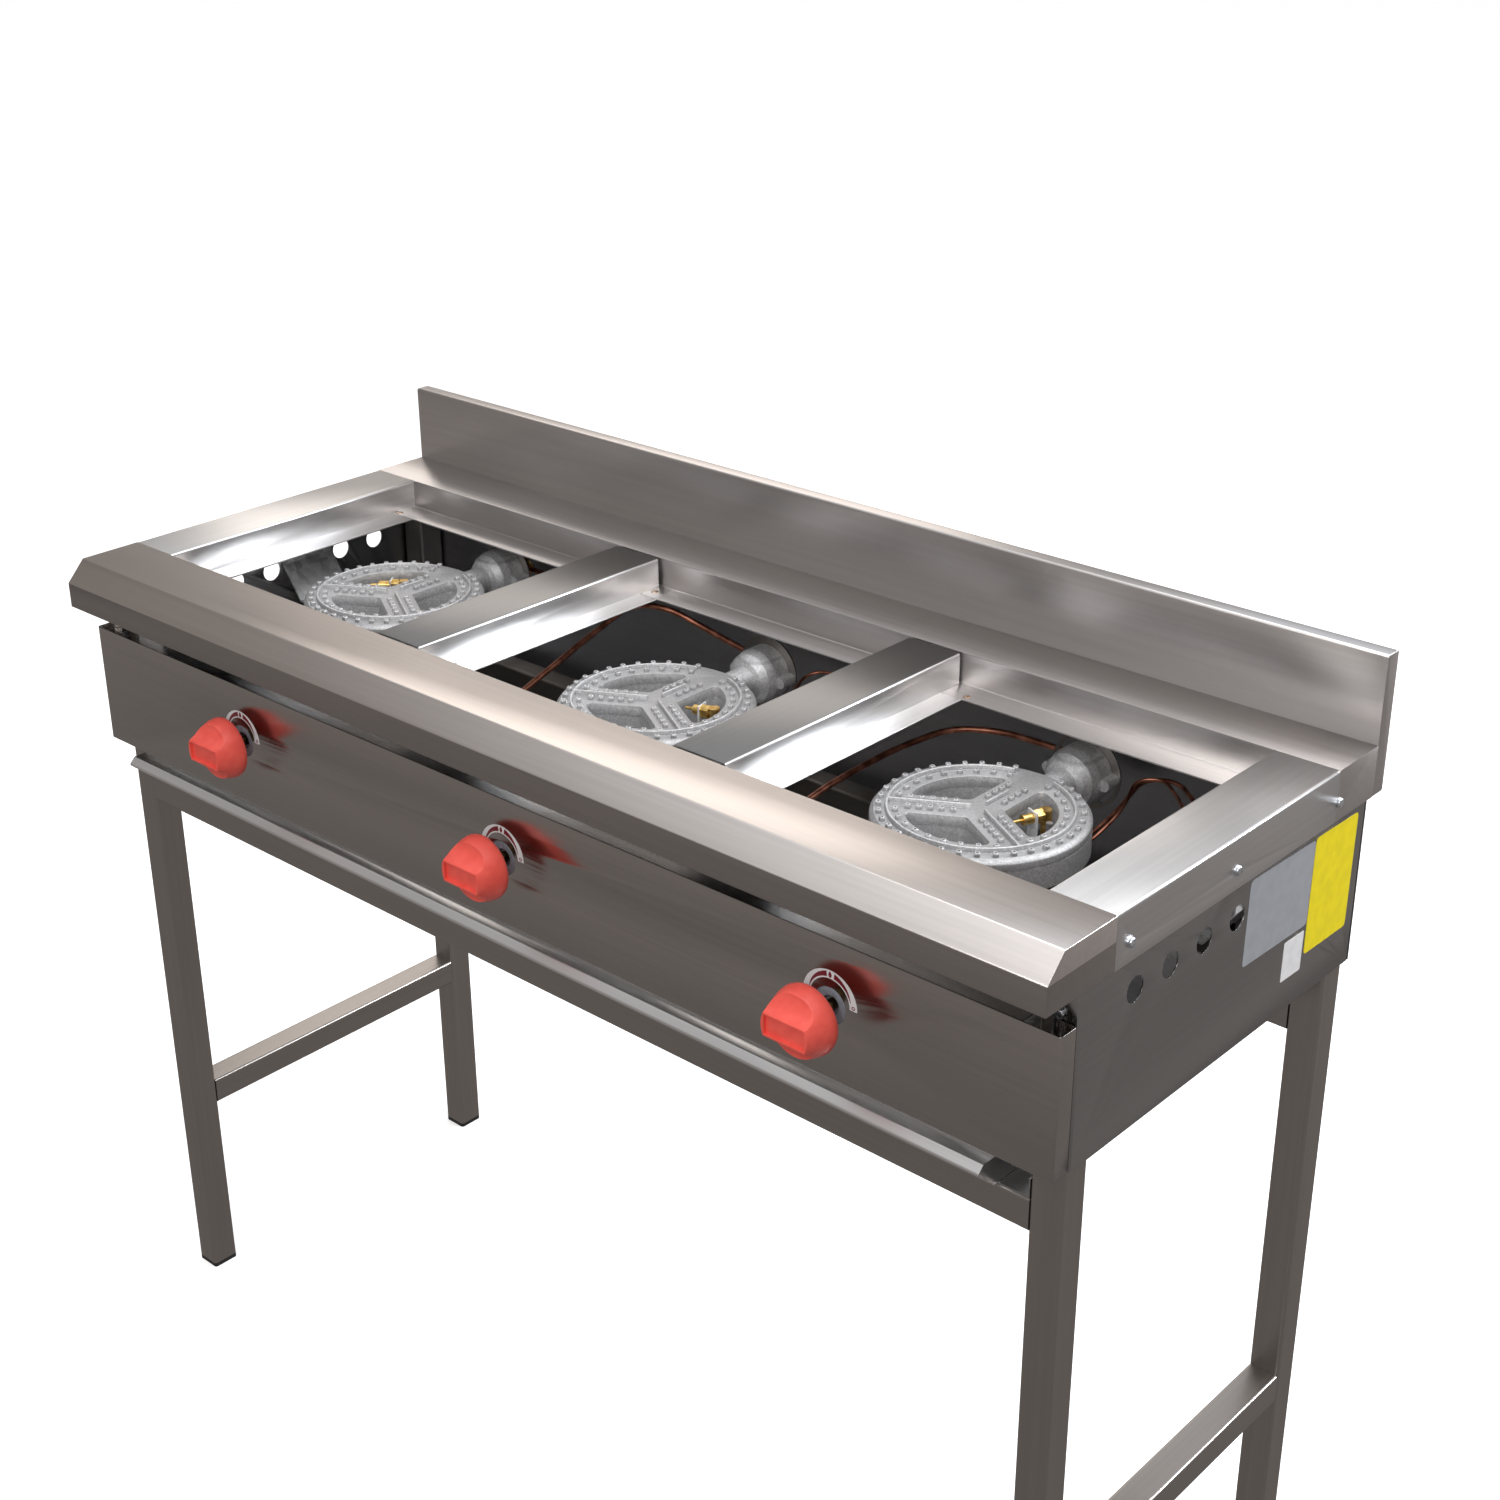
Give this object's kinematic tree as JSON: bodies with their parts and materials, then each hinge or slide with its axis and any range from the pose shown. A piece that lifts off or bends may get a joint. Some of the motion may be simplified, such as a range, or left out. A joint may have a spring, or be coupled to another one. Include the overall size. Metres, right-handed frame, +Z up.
{
  "type": "wok range",
  "caption": "Free-standing open-top gas wok range: recessed burner bays, red wing knobs, pull-out drip tray, splash-back and square-tube stand.",
  "frame": {"origin": "centre of the bounding box, on the floor", "axes": "+X to the cook's right, +Y towards the splash-back, +Z up"},
  "size_m": [1.2052, 0.5146, 0.9605],
  "materials": {
    "stand_steel": "satin brushed stainless tube",
    "body_steel": "satin brushed stainless sheet",
    "top_steel": "satin brushed stainless sheet",
    "tray_steel": "brushed stainless sheet",
    "beam_steel": "brushed stainless tube",
    "shutter_steel": "dark steel disc",
    "zinc_screws": "zinc-plated",
    "galvanised": "galvanised, spangled",
    "pipe_steel": "steel pipe",
    "cast_iron_silver": "silver-painted casting",
    "brass": "machined",
    "copper": "drawn copper tube",
    "probe_steel": "drawn steel",
    "red_plastic": "satin moulded",
    "black_plastic": "moulded"
  },
  "bodies": {
    "root": {"back_panel": "body_steel", "beam_bracket_left": "galvanised", "beam_bracket_right": "galvanised", "body_screws": "zinc_screws", "burner_beam": "beam_steel", "burner_body_left": "cast_iron_silver", "burner_body_middle": "cast_iron_silver", "burner_body_right": "cast_iron_silver", "burner_bolts": "zinc_screws", "burner_head_left": "cast_iron_silver", "burner_head_middle": "cast_iron_silver", "burner_head_right": "cast_iron_silver", "control_panel": "body_steel", "end_bar_left": "top_steel", "end_bar_right": "top_steel", "feed_tube_left": "copper", "feed_tube_middle": "copper", "feed_tube_right": "copper", "flame_probes": "probe_steel", "foot_plugs": "black_plastic", "front_rail": "stand_steel", "gas_inlet": "brass", "gas_manifold": "pipe_steel", "gas_taps": "galvanised", "injectors": "brass", "leg_front_left": "stand_steel", "leg_front_right": "stand_steel", "leg_rear_left": "stand_steel", "leg_rear_right": "stand_steel", "mid_bar_left": "top_steel", "mid_bar_right": "top_steel", "pilot_clips": "galvanised", "pilot_tubes": "copper", "pilots": "brass", "probe_leads": "copper", "rear_ledge": "top_steel", "rear_rail": "stand_steel", "shutter_screws": "zinc_screws", "side_panel_left": "body_steel", "side_panel_right": "body_steel", "side_rail_left": "stand_steel", "side_rail_right": "stand_steel", "splash_back": "top_steel", "top_front_rail": "top_steel", "top_screws": "zinc_screws", "tray_runner_left": "tray_steel", "tray_runner_right": "tray_steel"},
    "tray": {"drip_tray": "tray_steel"},
    "plunger_left": {"tap_plunger_left": "brass"},
    "dial_left": {"knob_left": "red_plastic", "knob_stem_left": "brass"},
    "shutter_left": {"air_shutter_left": "shutter_steel"},
    "plunger_middle": {"tap_plunger_middle": "brass"},
    "dial_middle": {"knob_middle": "red_plastic", "knob_stem_middle": "brass"},
    "shutter_middle": {"air_shutter_middle": "shutter_steel"},
    "plunger_right": {"tap_plunger_right": "brass"},
    "dial_right": {"knob_right": "red_plastic", "knob_stem_right": "brass"},
    "shutter_right": {"air_shutter_right": "shutter_steel"}
  },
  "joints": [
    {"name": "tray_slide", "type": "slide", "parent": "root", "child": "tray", "axis": [0, -1, 0], "range_m": [0, 0.35]},
    {"name": "push_left", "type": "slide", "parent": "root", "child": "plunger_left", "axis": [0, 1, 0], "range_m": [0, 0.003], "stiffness_N_per_m": 1200, "springref_m": -0.004},
    {"name": "turn_left", "type": "hinge", "parent": "plunger_left", "child": "dial_left", "pos_m": [-0.362, -0.21975, 0.747], "axis": [0, 1, 0], "range_deg": [-180, 0]},
    {"name": "air_left", "type": "hinge", "parent": "root", "child": "shutter_left", "pos_m": [-0.4115, 0.19325, 0.8], "axis": [0, -1, 0], "range_deg": [0, 54.5]},
    {"name": "push_middle", "type": "slide", "parent": "root", "child": "plunger_middle", "axis": [0, 1, 0], "range_m": [0, 0.003], "stiffness_N_per_m": 1200, "springref_m": -0.004},
    {"name": "turn_middle", "type": "hinge", "parent": "plunger_middle", "child": "dial_middle", "pos_m": [0.011, -0.22275, 0.747], "axis": [0, 1, 0], "range_deg": [-180, 0]},
    {"name": "air_middle", "type": "hinge", "parent": "root", "child": "shutter_middle", "pos_m": [-0.01, 0.17125, 0.8], "axis": [0, -1, 0], "range_deg": [0, 54.5]},
    {"name": "push_right", "type": "slide", "parent": "root", "child": "plunger_right", "axis": [0, 1, 0], "range_m": [0, 0.003], "stiffness_N_per_m": 1200, "springref_m": -0.004},
    {"name": "turn_right", "type": "hinge", "parent": "plunger_right", "child": "dial_right", "pos_m": [0.3845, -0.22775, 0.747], "axis": [0, 1, 0], "range_deg": [-180, 0]},
    {"name": "air_right", "type": "hinge", "parent": "root", "child": "shutter_right", "pos_m": [0.3535, 0.18625, 0.8], "axis": [0, -1, 0], "range_deg": [0, 54.5]}
  ]
}
